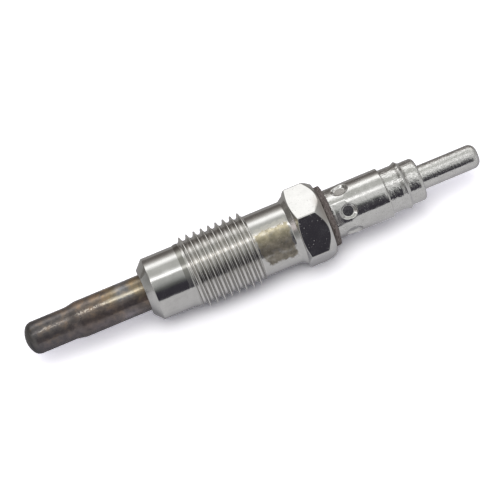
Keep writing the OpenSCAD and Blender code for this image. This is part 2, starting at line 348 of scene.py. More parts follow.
def tunnel_paint(place):
    """Bands from the table on the camera's side, over the top and down behind."""
    bearing = sums("ARCTAN2", place["Z"], times(place["Y"], -1))
    share = sums("DIVIDE", bearing, math.pi)
    by_housing, by_cap, by_pin = (
        ramp(share, *((angle / 180, tone) for angle, tone in bands))
        for bands in (BY_HOUSING, BY_CAP, BY_PIN))
    colour = mixed(span(place["X"], *CAP_FROM), by_housing, by_cap)
    colour = mixed(span(place["X"], *PIN_FROM), colour, by_pin)
    past_tip = times(span(place["X"], *TIP_PAST), span(bearing, *STRIPS_FROM))
    colour = mixed(past_tip, colour, (*STRIPS_OUT, 1))
    aside = span(sums("ABSOLUTE", place["X"]), *OUTER_FROM)
    below_lamps = span(bearing, *LAMPS_FROM, 1, 0)
    return mixed(times(aside, below_lamps), colour, (*OUTER, 1))


bow = np.linspace(0, math.pi, CARD_STEPS + 1)
rim = [(-CARD_RADIUS * math.cos(a), CARD_RADIUS * math.sin(a)) for a in bow]
tunnel = [(x, y, z) for x in (-CARD_HALF_LENGTH, CARD_HALF_LENGTH) for y, z in rim]
tunnel_faces = [(i, i + 1, i + CARD_STEPS + 2, i + CARD_STEPS + 1) for i in range(CARD_STEPS)]
hang_card("tunnel_card", tunnel, tunnel_faces, tunnel_paint)

# %% [markdown]
# ## Cards at the ends and on the table
# Chamfers and the sides of the thread look along the plug, so they show what stands at its ends. A
# lamp there would shine on everything, so a card closes each end, with a pale patch beyond the tip
# for the steps that face it. The last card lies on the table and is darker in the plug's shadow.

# %% Close the ends and lay a card on the table
TABLE_FADE = 0.05  # metres from the axis to where the table's tone is even
TABLE_CAP_FROM, TABLE_BEHIND_FROM = (0.015, 0.022), (0, 0.004)
TIP_PATCH, TABLE_EVEN, TABLE_BEHIND = (0.98, 0.89, 0.87), (0.7, 0.697, 0.7), (0.36, 0.35, 0.34)


def end_paint(place):
    """Pale near the table and darker higher up, with a pale patch past the tip."""
    high = sums("DIVIDE", place["Z"], CARD_RADIUS)
    by_tip = ramp(
        high, (0, (0.52, 0.52, 0.51)), (0.35, (0.26, 0.26, 0.25)), (0.55, (0.24, 0.235, 0.225)),
        (0.72, TIP_PATCH), (0.8, TIP_PATCH), (0.95, (0.2, 0.19, 0.18)))
    by_pin = ramp(
        high, (0, (0.56, 0.56, 0.55)), (0.35, (0.6, 0.6, 0.59)), (0.9, (0.34, 0.335, 0.33)))
    return mixed(sums("GREATER_THAN", place["X"], 0), by_tip, by_pin)


def table_paint(place):
    """Darker close to the plug, and grey behind it."""
    away = sums("DIVIDE", sums("ABSOLUTE", place["Y"]), TABLE_FADE)
    by_housing = ramp(
        away, (0, (0.2, 0.196, 0.21)), (0.068, (0.28, 0.276, 0.29)), (0.098, (0.49, 0.485, 0.5)),
        (0.142, (0.62, 0.615, 0.622)), (0.22, (0.66, 0.655, 0.66)), (1, TABLE_EVEN))
    by_cap = ramp(
        away, (0, (0.46, 0.455, 0.47)), (0.068, (0.52, 0.515, 0.53)), (0.142, (0.64, 0.635, 0.642)),
        (1, TABLE_EVEN))
    colour = mixed(span(place["X"], *TABLE_CAP_FROM), by_housing, by_cap)
    return mixed(span(place["Y"], *TABLE_BEHIND_FROM), colour, (*TABLE_BEHIND, 1))


for name, x in (("tip_end_card", -CARD_HALF_LENGTH), ("pin_end_card", CARD_HALF_LENGTH)):
    hang_card(name, [(x, y, z) for y, z in rim], [tuple(range(CARD_STEPS + 1))], end_paint)
hang_card("table_card", *flat_sheet(CARD_HALF_LENGTH, CARD_RADIUS, HAIR), table_paint)

# %% [markdown]
# ## Turned pieces as grids of points
# A lathe makes round things, and Blender has a Screw modifier that spins an outline. Here we lay
# the points out ourselves, in rows along the outline and columns round the axis, because later we
# push single points: flats on the hexagon, pits in the cap, the climb of the thread. Real edges are
# never knife sharp, so each corner of an outline gets a small round first.

# %% Helpers for outlines
ROUND_STEPS = 7  # points on each rounded corner
END_ROOM, MIDDLE_ROOM = 0.98, 0.45  # the share of a stretch that one round may use up


def eased(corners, tool_round=0.06):
    """An outline of (along, radius) with each corner rounded. A third number sets its own round."""
    points = [np.array(corner[:2], float) for corner in corners]
    outline = [points[0]]
    for i in range(1, len(points) - 1):
        wish = corners[i][2] if len(corners[i]) > 2 else tool_round
        back, ahead = points[i - 1] - points[i], points[i + 1] - points[i]
        back_length, ahead_length = np.linalg.norm(back), np.linalg.norm(ahead)
        half = 0.5 * math.acos(np.clip(back @ ahead / back_length / ahead_length, -1, 1))
        room_back = back_length * (END_ROOM if i == 1 else MIDDLE_ROOM)
        room_ahead = ahead_length * (END_ROOM if i == len(points) - 2 else MIDDLE_ROOM)
        cut = min(wish / math.tan(half), room_back, room_ahead)
        first, last = points[i] + back / back_length * cut, points[i] + ahead / ahead_length * cut
        for t in np.linspace(0, 1, ROUND_STEPS):
            pull = 2 * t * (1 - t) * math.sin(half)  # this weight makes the curve a true arc
            weight = (1 - t) ** 2 + pull + t ** 2
            outline.append(((1 - t) ** 2 * first + pull * points[i] + t ** 2 * last) / weight)
    outline.append(points[-1])
    return np.array(outline)


def fine(outline, step):
    """The same outline with no stretch longer than step."""
    rows = [outline[:1]]
    for a, b in zip(outline[:-1], outline[1:]):
        count = max(1, math.ceil(np.linalg.norm(b - a) / step))
        rows.append(a + (b - a) * (np.arange(1, count + 1) / count)[:, None])
    return np.concatenate(rows)


print("helpers for outlines are ready")

# %% Helpers for grids
WELD = 0.4e-6  # metres


def grid_faces(rows, columns, climb=0):
    """Four-sided faces of a closed grid. The last column joins the first climb rows higher up."""
    row, column = np.meshgrid(np.arange(rows - 1), np.arange(columns), indexing="ij")
    lift = np.where(column == columns - 1, climb, 0)
    beside = (column + 1) % columns
    low = np.minimum(row + lift, rows - 1) * columns + beside
    high = np.minimum(row + 1 + lift, rows - 1) * columns + beside
    return np.stack([row * columns + column, low, high, (row + 1) * columns + column], axis=-1).reshape(-1, 4)


def soft_min(one, other, blend):
    """The smaller of two shapes, with the edge between them rounded."""
    share = np.clip(0.5 + 0.5 * (other - one) / blend, 0, 1)
    return other + (one - other) * share - blend * share * (1 - share)


def make_piece(name, *patches):
    """One closed mesh from (points, faces) patches, welded where they meet."""
    points = np.concatenate([p.reshape(-1, 3) for p, _ in patches])
    starts = np.cumsum([0] + [p.reshape(-1, 3).shape[0] for p, _ in patches])
    faces = np.concatenate([f + start for (_, f), start in zip(patches, starts)])
    mesh = bpy.data.meshes.new(name)
    mesh.from_pydata(points.tolist(), [], faces.tolist())
    work = bmesh.new()
    work.from_mesh(mesh)
    bmesh.ops.remove_doubles(work, verts=work.verts, dist=WELD)
    bmesh.ops.dissolve_degenerate(work, edges=work.edges, dist=WELD)
    bmesh.ops.recalc_face_normals(work, faces=work.faces)
    open_edges = sum(1 for edge in work.edges if len(edge.link_faces) != 2)
    for face in work.faces:
        face.smooth = True
    work.to_mesh(mesh)
    work.free()
    piece = put(name, mesh)
    even = piece.modifiers.new("even_shading", "WEIGHTED_NORMAL")
    even.mode = "FACE_AREA"
    even.weight = 60
    counts = len(mesh.vertices), len(mesh.polygons), open_edges
    print("%s: %d points, %d faces, %d open edges" % (name, *counts))
    return piece


def turned(outline, turns, radius=None):
    """A turned patch: each row is a ring, with the outline's radius or a grid of radii."""
    points = spot(outline[:, :1], outline[:, 1:] if radius is None else radius, turns[None, :])
    return points, grid_faces(len(outline), len(turns))


print("helpers for grids are ready")

# %% [markdown]
# ## Housing: the columns
# The housing is one bar of steel from its sealing cone to its hexagon, so we make it as one grid.
# The hexagon needs more columns near its corners, where the steel turns quickly, and few on its
# flats. The same columns serve the round parts, so every ring meets its neighbour point to point.

# %% Columns of the housing
near_corner = [0, 0.5, 1, 1.6, 2.5, 4, 6, 8.5, 11, 13.5, 16, 18.5, 21, 23.5, 26, 28]  # degrees
one_flat = near_corner + [30] + [60 - a for a in reversed(near_corner[1:])]
housing_turns = np.radians([60 * k + a for k in range(6) for a in one_flat])
print("housing has %d columns" % len(housing_turns))

# %% [markdown]
# ## Housing: cone and pilot
# The short cone at the front seals against the engine's head, and the smooth pilot behind it
# guides the plug into its hole. Both are plain turning, so the outline is enough.

# %% Turn the cone and the pilot
TUBE_RADIUS = 3.0
SEAL_RADIUS = 3.75
PILOT_RADIUS = 5.1534
front_outline = eased([
    (TUBE_END, TUBE_RADIUS), (FRONT, TUBE_RADIUS, 0.08), (FRONT, SEAL_RADIUS, 0.10),
    (CONE_END, PILOT_RADIUS, 0.22), (THREAD_START, PILOT_RADIUS)])
front_patch = turned(front_outline, housing_turns)
print("pilot is %.2f mm across" % (2 * PILOT_RADIUS))

# %% [markdown]
# ## Housing: the thread
# The solids carry rings in place of a thread, which is enough for fit. A real thread is one groove
# that climbs one pitch in each turn. In our grid each column starts a little further along than
# the one before it, and after a full turn the last column joins the first one pitch higher up.
# Points beyond the thread's ends are pressed onto the end rings, where the weld swallows them.

# %% Cut the thread
PITCH = 1.25
CREST_RADIUS = 6.0
GROOVE_DEPTH = 0.76675
SHANK_RADIUS = 5.1833
RELIEF, RELIEF_RISE = 0.9, 0.2  # a shallow cone comes before the first crest
LEAD_IN, RUN_OUT = 1.5, 0.25
CREST_SHIFT = 0.22  # of a millimetre, where the first crest stands
HALF_CREST = 0.04  # of a pitch
VALLEY_POWER = 2.6  # 1 is a sharp V, 2 a round valley and more a flatter one
first_half = [0, 0.02, 0.05, 0.09, 0.14, 0.21, 0.30, 0.40]
across = np.array(first_half + [0.5] + [1 - place for place in reversed(first_half)])
valley = 1 - np.abs(1 - 2 * across) ** VALLEY_POWER
# (place within one pitch, depth as a share), from the middle of a crest
groove = np.array([(0.0, 0.0), *zip(HALF_CREST + (1 - 2 * HALF_CREST) * across, valley)])
SPARE_TURNS = 3  # beyond each end
whole_turns = math.ceil((THREAD_END - THREAD_START) / PITCH)
winding = np.arange(-SPARE_TURNS, whole_turns + SPARE_TURNS)
climb_of_row = (winding[:, None] + groove[None, :, 0]).reshape(-1, 1)
depth_of_row = np.tile(groove[:, 1], len(winding))[:, None]
climb_of_point = climb_of_row + housing_turns[None, :] / (2 * math.pi)
thread_along = np.clip(THREAD_START + CREST_SHIFT + PITCH * climb_of_point, THREAD_START, THREAD_END)
ends = np.interp(
    thread_along,
    [THREAD_START, THREAD_START + RELIEF, THREAD_START + LEAD_IN, THREAD_END - RUN_OUT, THREAD_END],
    [PILOT_RADIUS, PILOT_RADIUS + RELIEF_RISE, CREST_RADIUS, CREST_RADIUS, SHANK_RADIUS])
thread_radius = np.minimum(CREST_RADIUS - GROOVE_DEPTH * depth_of_row, ends)
thread_points = spot(thread_along, thread_radius, housing_turns[None, :])
thread_patch = thread_points, grid_faces(len(thread_points), len(housing_turns), climb=len(groove))
print("thread: %d windings of %.2f mm pitch" % (whole_turns, PITCH))

# %% [markdown]
# ## Housing: shank, hexagon and bores
# The spanner's hexagon is what a lathe leaves when six flats are milled on a round collar. So we
# turn the round collar with its chamfers, then take the smaller of two radii at each point: the
# turned one or the distance to the flat. That gives the curved chamfer edges of a real nut by
# itself. Behind it the end face leads into the gland and the bore, so the skin closes on itself.

# %% Mill the hexagon
HALF_FLATS = 6.0
FLAT_ANGLE = math.radians(60)
CORNER_RADIUS = HALF_FLATS / math.cos(FLAT_ANGLE / 2) + 0.1
EDGE_BLEND, CHAMFER_BLEND = 0.16, 0.10
COLLAR_RADIUS, FACE_RADIUS = 5.8, 5.77
GLAND_RADIUS, BORE_RADIUS = 3.7, 2.8
FRONT_SLOPE, REAR_SLOPE = math.radians(65), math.radians(36.3)
HEX_ROWS = 0.06  # millimetres between rows
front_chamfer = (CORNER_RADIUS - COLLAR_RADIUS) / math.tan(FRONT_SLOPE)
rear_chamfer = (CORNER_RADIUS - FACE_RADIUS) / math.tan(REAR_SLOPE)
rear_outline = np.concatenate([
    fine(eased([
        (THREAD_END, SHANK_RADIUS), (SHANK_END, SHANK_RADIUS, 0.5), (COLLAR_END, COLLAR_RADIUS, 0.3),
        (COLLAR_END + front_chamfer, CORNER_RADIUS, 0.01), (HEX_END - rear_chamfer, CORNER_RADIUS, 0.01),
        (HEX_END, FACE_RADIUS, 0.10), (HEX_END, 4.6)]), HEX_ROWS),
    eased([(HEX_END, 4.4), (HEX_END, GLAND_RADIUS), (GLAND_START, GLAND_RADIUS), (GLAND_START, BORE_RADIUS),
           (TUBE_END, BORE_RADIUS), (TUBE_END, TUBE_RADIUS)], 0.05)])

flat_turn = (housing_turns + FLAT_ANGLE / 2) % FLAT_ANGLE - FLAT_ANGLE / 2
this_flat = HALF_FLATS / np.cos(FLAT_ANGLE / 2 - np.abs(flat_turn))
next_flat = HALF_FLATS / np.cos(FLAT_ANGLE / 2 + np.abs(flat_turn))
milled = soft_min(this_flat, next_flat, EDGE_BLEND)[None, :]
round_rows = rear_outline[:, 1:]
cutter_reach = round_rows > COLLAR_RADIUS - 0.3
rear_radius = np.where(cutter_reach, soft_min(round_rows, milled, CHAMFER_BLEND), round_rows)
rear_patch = turned(rear_outline, housing_turns, rear_radius)
housing = make_piece("housing_body", front_patch, thread_patch, rear_patch)
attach(housing, "root")
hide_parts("housing")
print("hexagon is %.2f mm across its corners" % (2 * rear_radius.max()))

# %% [markdown]
# ## Glow tube
# The tube is the part that reaches into the engine and glows. It is drawn from heat-proof steel,
# closed at the tip and swaged a little thinner there, so its outline has one soft step. We turn
# the outside and the inside as one skin, since the tube is hollow in the solids too.

# %% Turn the glow tube
TIP_RADIUS, TIP_LENGTH, SWAGE, WALL, TIP_WALL = 2.7, 7.7, 1.6, 0.6, 0.9
TIP_DOME, TIP_ROUND = 3.8, 1.5  # radii of the dome and of the round at its edge
DOME_ROWS, SHOULDER_ROWS, TUBE_COLUMNS = 10, 12, 144
shoulder_radius = TIP_RADIUS - TIP_ROUND
shoulder_along = TIP_DOME - math.sqrt((TIP_DOME - TIP_ROUND) ** 2 - shoulder_radius ** 2)
dome_edge = math.asin(shoulder_radius / (TIP_DOME - TIP_ROUND))
on_dome = np.linspace(0, dome_edge, DOME_ROWS)[:, None]
on_shoulder = np.linspace(dome_edge, math.pi / 2, SHOULDER_ROWS)[1:, None]
tube_turns = np.linspace(0, 2 * math.pi, TUBE_COLUMNS, endpoint=False)
tube_outline = np.concatenate([
    TIP_DOME * np.hstack([1 - np.cos(on_dome), np.sin(on_dome)]),
    (shoulder_along, shoulder_radius) + TIP_ROUND * np.hstack([-np.cos(on_shoulder), np.sin(on_shoulder)]),
    fine(eased([(shoulder_along + 0.3, TIP_RADIUS), (TIP_LENGTH, TIP_RADIUS, 2.5),
                (TIP_LENGTH + SWAGE, TUBE_RADIUS, 2.5), (FRONT + 0.5, TUBE_RADIUS)]), 0.35),
    eased([(TUBE_END - 1, TUBE_RADIUS), (TUBE_END, TUBE_RADIUS), (TUBE_END, TUBE_RADIUS - WALL),
           (TIP_LENGTH + SWAGE, TUBE_RADIUS - WALL), (TIP_LENGTH, TIP_RADIUS - WALL),
           (TIP_WALL, TIP_RADIUS - WALL, 0.9), (TIP_WALL, 0)])])
glow_tube = make_piece("glow_tube_body", turned(tube_outline, tube_turns))
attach(glow_tube, "root")
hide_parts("glow_tube")
print("tube stands %.1f mm out of the housing" % FRONT)

# %% [markdown]
# ## Insulating washer
# A ring of pressed brown board keeps the live cap away from the housing. Board is punched, not
# turned, so its edge is a little ragged. We turn it and then push each point of the rim in by a
# small wave made of a few sines, which is the same on every run.

# %% Punch the washer
WASHER_RADIUS, STUD_HOLE, WASHER_COLLAR = 5.2, 2.25, 3.65
COLLAR_START = 48.932
WASHER_LIFT = 0.12  # the rim sits a little high
RIM_FROM, RIM_BLEND = 4.6, 0.5  # where the ragged rim starts
RIM_TRIM, RAG = 0.2, 2.1  # taken off all round, and the size of the rag
WASHER_COLUMNS = 300
washer_turns = np.linspace(0, 2 * math.pi, WASHER_COLUMNS, endpoint=False)
washer_outline = np.concatenate([
    eased([(COLLAR_START, STUD_HOLE), (COLLAR_START, WASHER_COLLAR), (HEX_END, WASHER_COLLAR),
           (HEX_END, RIM_FROM)]),
    fine(eased([(HEX_END, 4.7), (HEX_END, WASHER_RADIUS, 0.3), (WASHER_END, WASHER_RADIUS, 0.42),
                (WASHER_END, 4.2)]), 0.12),
    eased([(WASHER_END, 4.1), (WASHER_END, STUD_HOLE), (COLLAR_START, STUD_HOLE)])])
rim_share = np.clip((washer_outline[:, 1:] - RIM_FROM) / RIM_BLEND, 0, 1)
ragged = np.zeros((len(washer_outline), len(washer_turns)))
for waves, slant, size in (
        (7, 0.8, 0.030), (17, 2.1, 0.022), (31, 3.7, 0.018), (53, 6.0, 0.014), (89, 9.0, 0.010)):
    ragged += size * np.sin(waves * washer_turns[None, :] + slant * 4 * washer_outline[:, :1] + waves)
washer_radius = washer_outline[:, 1:] - rim_share * (RIM_TRIM + RAG * ragged)
washer_points, washer_faces = turned(washer_outline, washer_turns, washer_radius)
washer_points[..., 2] += WASHER_LIFT * MM * rim_share
washer = make_piece("washer_ring", (washer_points, washer_faces))
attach(washer, "root")
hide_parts("insulating_washer")
rim_radius = washer_radius[rim_share[:, 0] > 0.99]
print("washer rim is between %.2f and %.2f mm" % (rim_radius.min(), rim_radius.max()))

# %% [markdown]
# ## Terminal cap
# The cap carries the current. It is turned with a skirt, a neck, a snap ridge for the socket and
# a pin, then pressed onto the stud by six jaws, each with a flat-ended punch in its face. Cutting
# the pits with booleans leaves hard rims and many thin faces. Taking the soft smaller of three
# radii, the skirt's, a jaw's and a punch's, gives the rim that a punch leaves. A narrow land of the
# round skirt stays between the bowed jaws, and a column of the grid along it keeps it crisp.

# %% Turn the cap
SKIRT_RADIUS, NECK_RADIUS, RIDGE_RADIUS, NOSE_RADIUS, PIN_RADIUS = 4.15, 3.7, 4.02, 3.55, 2.0
RIDGE_PEAK = RIDGE_START + 0.78
SOCKET_RADIUS, SOCKET_DEPTH, DRILL_POINT = 2.2, 7.6, 1.32
PIT_ALONG = WASHER_END + 2.55
PIT_MOUTH, PIT_FLOOR, PIT_SHIFT, PIT_DEPTH, PIT_BLEND = 1.40, 0.90, 0.08, 0.40, 0.035
JAW_FLAT, JAW_BOW, JAW_SLOPE, JAW_BLEND = 4.0, 5.6, 0.30, 0.03
JAW_END = PIT_ALONG + 0.05
CRIMP_ZONE_END = WASHER_END + 4.3
PIT_TURN, PITS, COLUMNS_A_PIT = 39.8, 6, 72  # degrees to the first pit
PIT_REACH = 2.2  # a punch leaves no mark further from its middle
pit_turns = np.radians([180 - (PIT_TURN + 360 / PITS * k) for k in range(PITS)])
cap_turns = pit_turns[0] + np.linspace(0, 2 * math.pi, PITS * COLUMNS_A_PIT, endpoint=False)
skirt_outline = eased([(WASHER_END, 3.0), (WASHER_END, SKIRT_RADIUS, 0.16), (CRIMP_ZONE_END, SKIRT_RADIUS)])
cap_outline = np.concatenate([
    eased([(WASHER_END + SOCKET_DEPTH + DRILL_POINT, 0), (WASHER_END + SOCKET_DEPTH, SOCKET_RADIUS),
           (WASHER_END, SOCKET_RADIUS), (WASHER_END, 2.9)]),
    skirt_outline[:1], fine(skirt_outline[1:], 0.05),
    fine(eased([
        (CRIMP_ZONE_END + 0.2, SKIRT_RADIUS), (SKIRT_END, SKIRT_RADIUS, 0.5), (SKIRT_END, NECK_RADIUS, 0.12),
        (RIDGE_START, NECK_RADIUS, 0.5), (RIDGE_PEAK, RIDGE_RADIUS, 0.1), (RIDGE_END, NOSE_RADIUS, 0.3),
        (NOSE_END, NOSE_RADIUS, 1.1), (NOSE_END, PIN_RADIUS, 0.12), (LENGTH, PIN_RADIUS, 1.25),
        (LENGTH, 0)]), 0.5)])
cap_along = cap_outline[:, :1]
cap_round = np.repeat(cap_outline[:, 1:], len(cap_turns), axis=1)
outside = (cap_round > 3.5) & (cap_along < CRIMP_ZONE_END + 0.1)
beside_pit = ((cap_turns - pit_turns[0] + math.pi / PITS) % (2 * math.pi / PITS) - math.pi / PITS)[None, :]
print("cap has %d rows and %d columns" % cap_round.shape)

# %% Press the jaws and the punches
RIPPLE, RIPPLE_FADE = 0.04, 0.25  # the pressed edge by the washer is uneven
FLOOR_BLEND, CLOSING_STEPS = 0.03, 5
offset = JAW_BOW - JAW_FLAT
jaw = np.sqrt(JAW_BOW ** 2 - (offset * np.sin(beside_pit)) ** 2) - offset * np.cos(beside_pit)
jaw = jaw + JAW_SLOPE * np.maximum(cap_along - JAW_END, 0) - (SKIRT_RADIUS - cap_round)
ripple = RIPPLE * (1 + np.sin(23 * cap_turns) * np.sin(9 * cap_turns + 1))[None, :]
ripple = ripple * np.exp(-(cap_along - WASHER_END) / RIPPLE_FADE)
skirt = np.where(outside, soft_min(cap_round, jaw, JAW_BLEND) - ripple, cap_round)

pit = skirt
ahead = cap_along - PIT_ALONG
for _ in range(CLOSING_STEPS):  # the wall's height depends on the radius it gives, so close in on it
    aside = pit * np.sin(beside_pit) + PIT_SHIFT  # the punch went in a little askew
    away = np.maximum(np.hypot(ahead, aside), 0.01)
    lean = -PIT_SHIFT * aside / away
    to_mouth = np.sqrt(lean ** 2 - PIT_SHIFT ** 2 + PIT_MOUTH ** 2) - lean
    slope = PIT_DEPTH / (to_mouth - PIT_FLOOR)
    wall = slope * (away - PIT_FLOOR) + 2 * slope * np.maximum(away - to_mouth, 0)
    rise = -soft_min(-wall, 0, FLOOR_BLEND)
    pit = (JAW_FLAT - PIT_DEPTH + rise) / np.cos(beside_pit)
cap_radius = np.where(outside & (away < PIT_REACH), soft_min(skirt, pit, PIT_BLEND), skirt)
cap = make_piece("cap_body", turned(cap_outline, cap_turns, cap_radius))
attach(cap, "root")
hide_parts("terminal_cap")
behind_edge = outside & (cap_along > WASHER_END + 0.5)
print("%d pits, the floor of each at radius %.2f mm" % (PITS, cap_radius[behind_edge].min()))

# %% [markdown]
# ## Coordinates for the finishes
# Plating, heat tints and stains follow the plug, not the picture, so every finish reads the
# piece's own coordinates. From them we work out three handy numbers: millimetres from the tip,
# the radius, and how far up the camera's side a point faces in degrees.

# %% Rulers inside a finish


def rulers(tree):
    """(place in metres, millimetres from the tip, radius in mm, degrees up from the camera's side)"""
    place = own_place(tree)
    apart = tree.nodes.new("ShaderNodeSeparateXYZ")
    fill(apart.inputs[0], place)
    along = sums("MULTIPLY_ADD", apart.outputs["X"], 1 / MM, LENGTH / 2)
    rise = sums("SUBTRACT", apart.outputs["Z"], AXIS_UP * MM)
    towards = times(apart.outputs["Y"], -1.0)
    facing = times(sums("ARCTAN2", rise, towards), 180 / math.pi)
    square = sums("ADD", times(rise, rise), times(towards, towards))
    radius = sums("DIVIDE", sums("SQRT", square), MM)
    return place, along, radius, facing


def noise(place, size_mm, detail, rough=0.6, stretch=None):
    """Cloudy noise with blotches of about size_mm. stretch scales the place first."""
    if stretch:
        place = add(place.id_data, "ShaderNodeMapping", {"Vector": place, "Scale": stretch})
    return add(place.id_data, "ShaderNodeTexNoise", {
        "Vector": place, "Scale": 1 / (size_mm * MM), "Detail": detail, "Roughness": rough})


def band(value, low, high, soft):
    """1 between low and high, falling to 0 over soft on each side."""
    rise = span(value, low - soft, low + soft)
    fall = span(value, high - soft, high + soft, 1.0, 0.0)
    return times(rise, fall)


print("rulers for finishes are ready")

# %% Layers of a finish


def sway(value, size):
    """Noise turned into a wander of up to half of size to each side."""
    return sums("MULTIPLY_ADD", value, size, -size / 2)


def plus(value, extra, share=1.0):
    """value with a share of extra added to it."""
    return sums("MULTIPLY_ADD", extra, share, value)


def stain(base, mask, colour, share=1.0):
    """base with a colour over it where the mask is 1, as strong as share."""
    return mixed(times(mask, share), base, (*colour, 1))


def bumps(shader, *layers):
    """Stacks bumps. Each layer is (height socket, depth in micrometres)."""
    normal = None
    for height, depth in layers:
        values = {"Height": height, "Distance": depth * MM * MM, "Strength": 1.0}
        if normal is not None:
            values["Normal"] = normal
        normal = add(height.id_data, "ShaderNodeBump", values)
    fill(shader.inputs["Normal"], normal)


def surface(shader, colour, metal, rough):
    """Fills the three main sockets of a finish."""
    for name, value in (("Base Color", colour), ("Metallic", metal), ("Roughness", rough)):
        fill(shader.inputs[name], value)


print("layers for finishes are ready")

# %% [markdown]
# ## Nickel plating on the housing
# The housing is bright nickel over turned steel: a mirror with faint turning marks and a slight
# wave. One even metal would look like a toy, so small changes give it life. They grow from three
# noises: clouds, specks and fine lathe rings.

# %% Start the plating
plating, tree, shader = start_finish("bright nickel plating")
place, along, radius, facing = rulers(tree)
cloud = noise(place, 2.2, 4)
speck = noise(place, 0.16, 2)
rings = noise(place, 1, 2, 0.5, stretch=(14, 0.35, 0.35))
nickel = ramp(cloud, (0.3, (0.55, 0.545, 0.535)), (0.72, (0.635, 0.63, 0.62)))
print("started:", plating.name)

# %% [markdown]
# ## Oil, wear and painted light in the thread
# On a used plug, oil has baked on in the roots of the thread and the crests are rubbed pale. On
# top of that, light and shade are painted in: the upper side of the thread is painted lighter, the
# lower side darker with a pale painted highlight in its roots, and the upper side of the short relief
# cone before the first crest gets a dark painted shade. To paint that by hand, we would have to
# unwrap the mesh. Here the rulers make the masks: how far along a point lies, how deep in the
# groove, and how far up it faces.

# %% Stain the thread
# radii in millimetres
ROOT_OIL, ROOT_HIGHLIGHT, CREST_RUB = (5.3, 5.85), (5.29, 5.245), (5.82, 5.93)
in_thread = band(along, THREAD_START + RELIEF + 0.1, THREAD_END + 0.1, 0.2)
in_root = times(in_thread, span(radius, *ROOT_OIL, 1, 0))
soot = times(in_root, span(cloud, 0.32, 0.62, 0, 0.28))
nickel = stain(nickel, soot, (0.36, 0.32, 0.27))
# painted light: the upper side of the thread is painted lighter
painted_light_on_thread = times(in_thread, band(facing, 30, 74, 9))
nickel = stain(nickel, painted_light_on_thread, (0.82, 0.8, 0.765), 0.42)
# painted shade: the lower side of the thread is painted darker
painted_shade_under_thread = times(in_thread, span(facing, 24, 10))
nickel = stain(nickel, painted_shade_under_thread, (0.42, 0.41, 0.405), 0.5)
# painted highlight: a pale line in the roots on the lower side
painted_root_highlight = times(painted_shade_under_thread, span(radius, *ROOT_HIGHLIGHT))
nickel = stain(nickel, painted_root_highlight, (0.8, 0.79, 0.775), 0.7)
# painted shade: a dark band on the upper side of the relief cone
relief_shade = band(along, THREAD_START + 0.04, THREAD_START + RELIEF, 0.06)
relief_shade = times(relief_shade, span(facing, 30, 52))
nickel = stain(nickel, relief_shade, (0.2, 0.195, 0.17), 0.7)
on_crest = times(in_thread, span(radius, *CREST_RUB))
nickel = stain(nickel, on_crest, (0.88, 0.87, 0.85), 0.8)
print("stained the thread from %.1f to %.1f mm" % (THREAD_START + RELIEF, THREAD_END))

# %% [markdown]
# ## The dried film on the shank
# Oil dried on the shank and left an olive film with a frayed edge. A pale rim along its upper edge
# is a painted highlight, and the film's colour is painted lighter towards the top as painted light.
# A plain patch of colour would look cut out, so noise pushes its edges about, thins it and smears
# it. Last, the upper part of the hexagon's rear chamfer turns darker and browner beside the washer.

# %% Lay the film
film_edge = plus(facing, sway(cloud, 16))
film_edge = plus(film_edge, sway(noise(place, 0.45, 2), 14))
low_corner = span(facing, 8, 26, 0.9, 0)  # the film starts later low on the shank
frayed = plus(along, noise(place, 0.7, 3), 1.2)
film_start = span(sums("SUBTRACT", frayed, low_corner), THREAD_END + 0.62, THREAD_END + 0.98)
film_end = span(frayed, SHANK_END + 0.15, SHANK_END + 0.5, 1, 0)
on_shank = times(film_start, film_end)
thin = span(noise(place, 1.1, 5, 0.65), 0.3, 0.46, 0.6, 1)
film = times(band(film_edge, 2, 68, 2), on_shank, thin)
# painted highlight: a pale rim along the film's upper edge
rim_highlight = times(band(film_edge, 66, 76, 3), on_shank)
nickel = stain(nickel, rim_highlight, (0.86, 0.83, 0.77), 0.6)
# the film's own colour, painted lighter towards the top as painted light
film_colour_and_light = ramp(
    span(facing, 20, 62), (0, (0.205, 0.185, 0.148)), (0.4, (0.272, 0.246, 0.188)),
    (0.5, (0.335, 0.303, 0.228)), (0.76, (0.322, 0.289, 0.202)), (0.86, (0.345, 0.309, 0.208)),
    (1, (0.48, 0.432, 0.3)))
smear = ramp(noise(place, 0.8, 4, 0.65), (0.34, 0.7), (0.5, 1), (0.66, 1.34))
nickel = mixed(film, nickel, mixed(1, film_colour_and_light, smear, "MULTIPLY"))
# darker and browner on the upper side of the rear chamfer, beside the washer
by_washer = times(span(along, HEX_END - 1.5, HEX_END - 0.3), band(facing, 40, 84, 8), span(radius, 6.95, 6.6))
nickel = stain(nickel, by_washer, (0.34, 0.3, 0.275), 0.7)
print("film lies between %.1f and %.1f mm" % (THREAD_END, SHANK_END))

# %% [markdown]
# ## Gloss of the housing
# Plating wears through in specks, spanners leave nicks on the hexagon, and oil takes the shine off.
# Roughness could be painted, but the masks that we have are enough: each dulls the metal by its own
# share. Shallow bumps then add the wave, the lathe's rings and the nicks.

# %% Set the gloss of the housing
worn = span(speck, 0.66, 0.74)
nickel = stain(nickel, worn, (0.3, 0.28, 0.26), 0.35)
nick = span(noise(place, 0.22, 1, 0.5), 0.735, 0.785)
nick = times(nick, span(along, SHANK_END + 0.4, COLLAR_END))
rough = span(cloud, 0.3, 0.7, 0.09, 0.17)
for mask, dulls in (
        (in_thread, 0.03), (in_root, 0.04), (film, 0.1), (worn, 0.12), (on_crest, 0.16), (nick, 0.26)):
    rough = plus(rough, mask, dulls)
surface(shader, nickel, plus(1, film, -0.42), rough)
bumps(shader, (noise(place, 1.6, 2, 0.5), 9), (rings, 2.2), (speck, 2.5), (nick, 12))
housing.data.materials.append(plating)
print("plated:", housing.name)
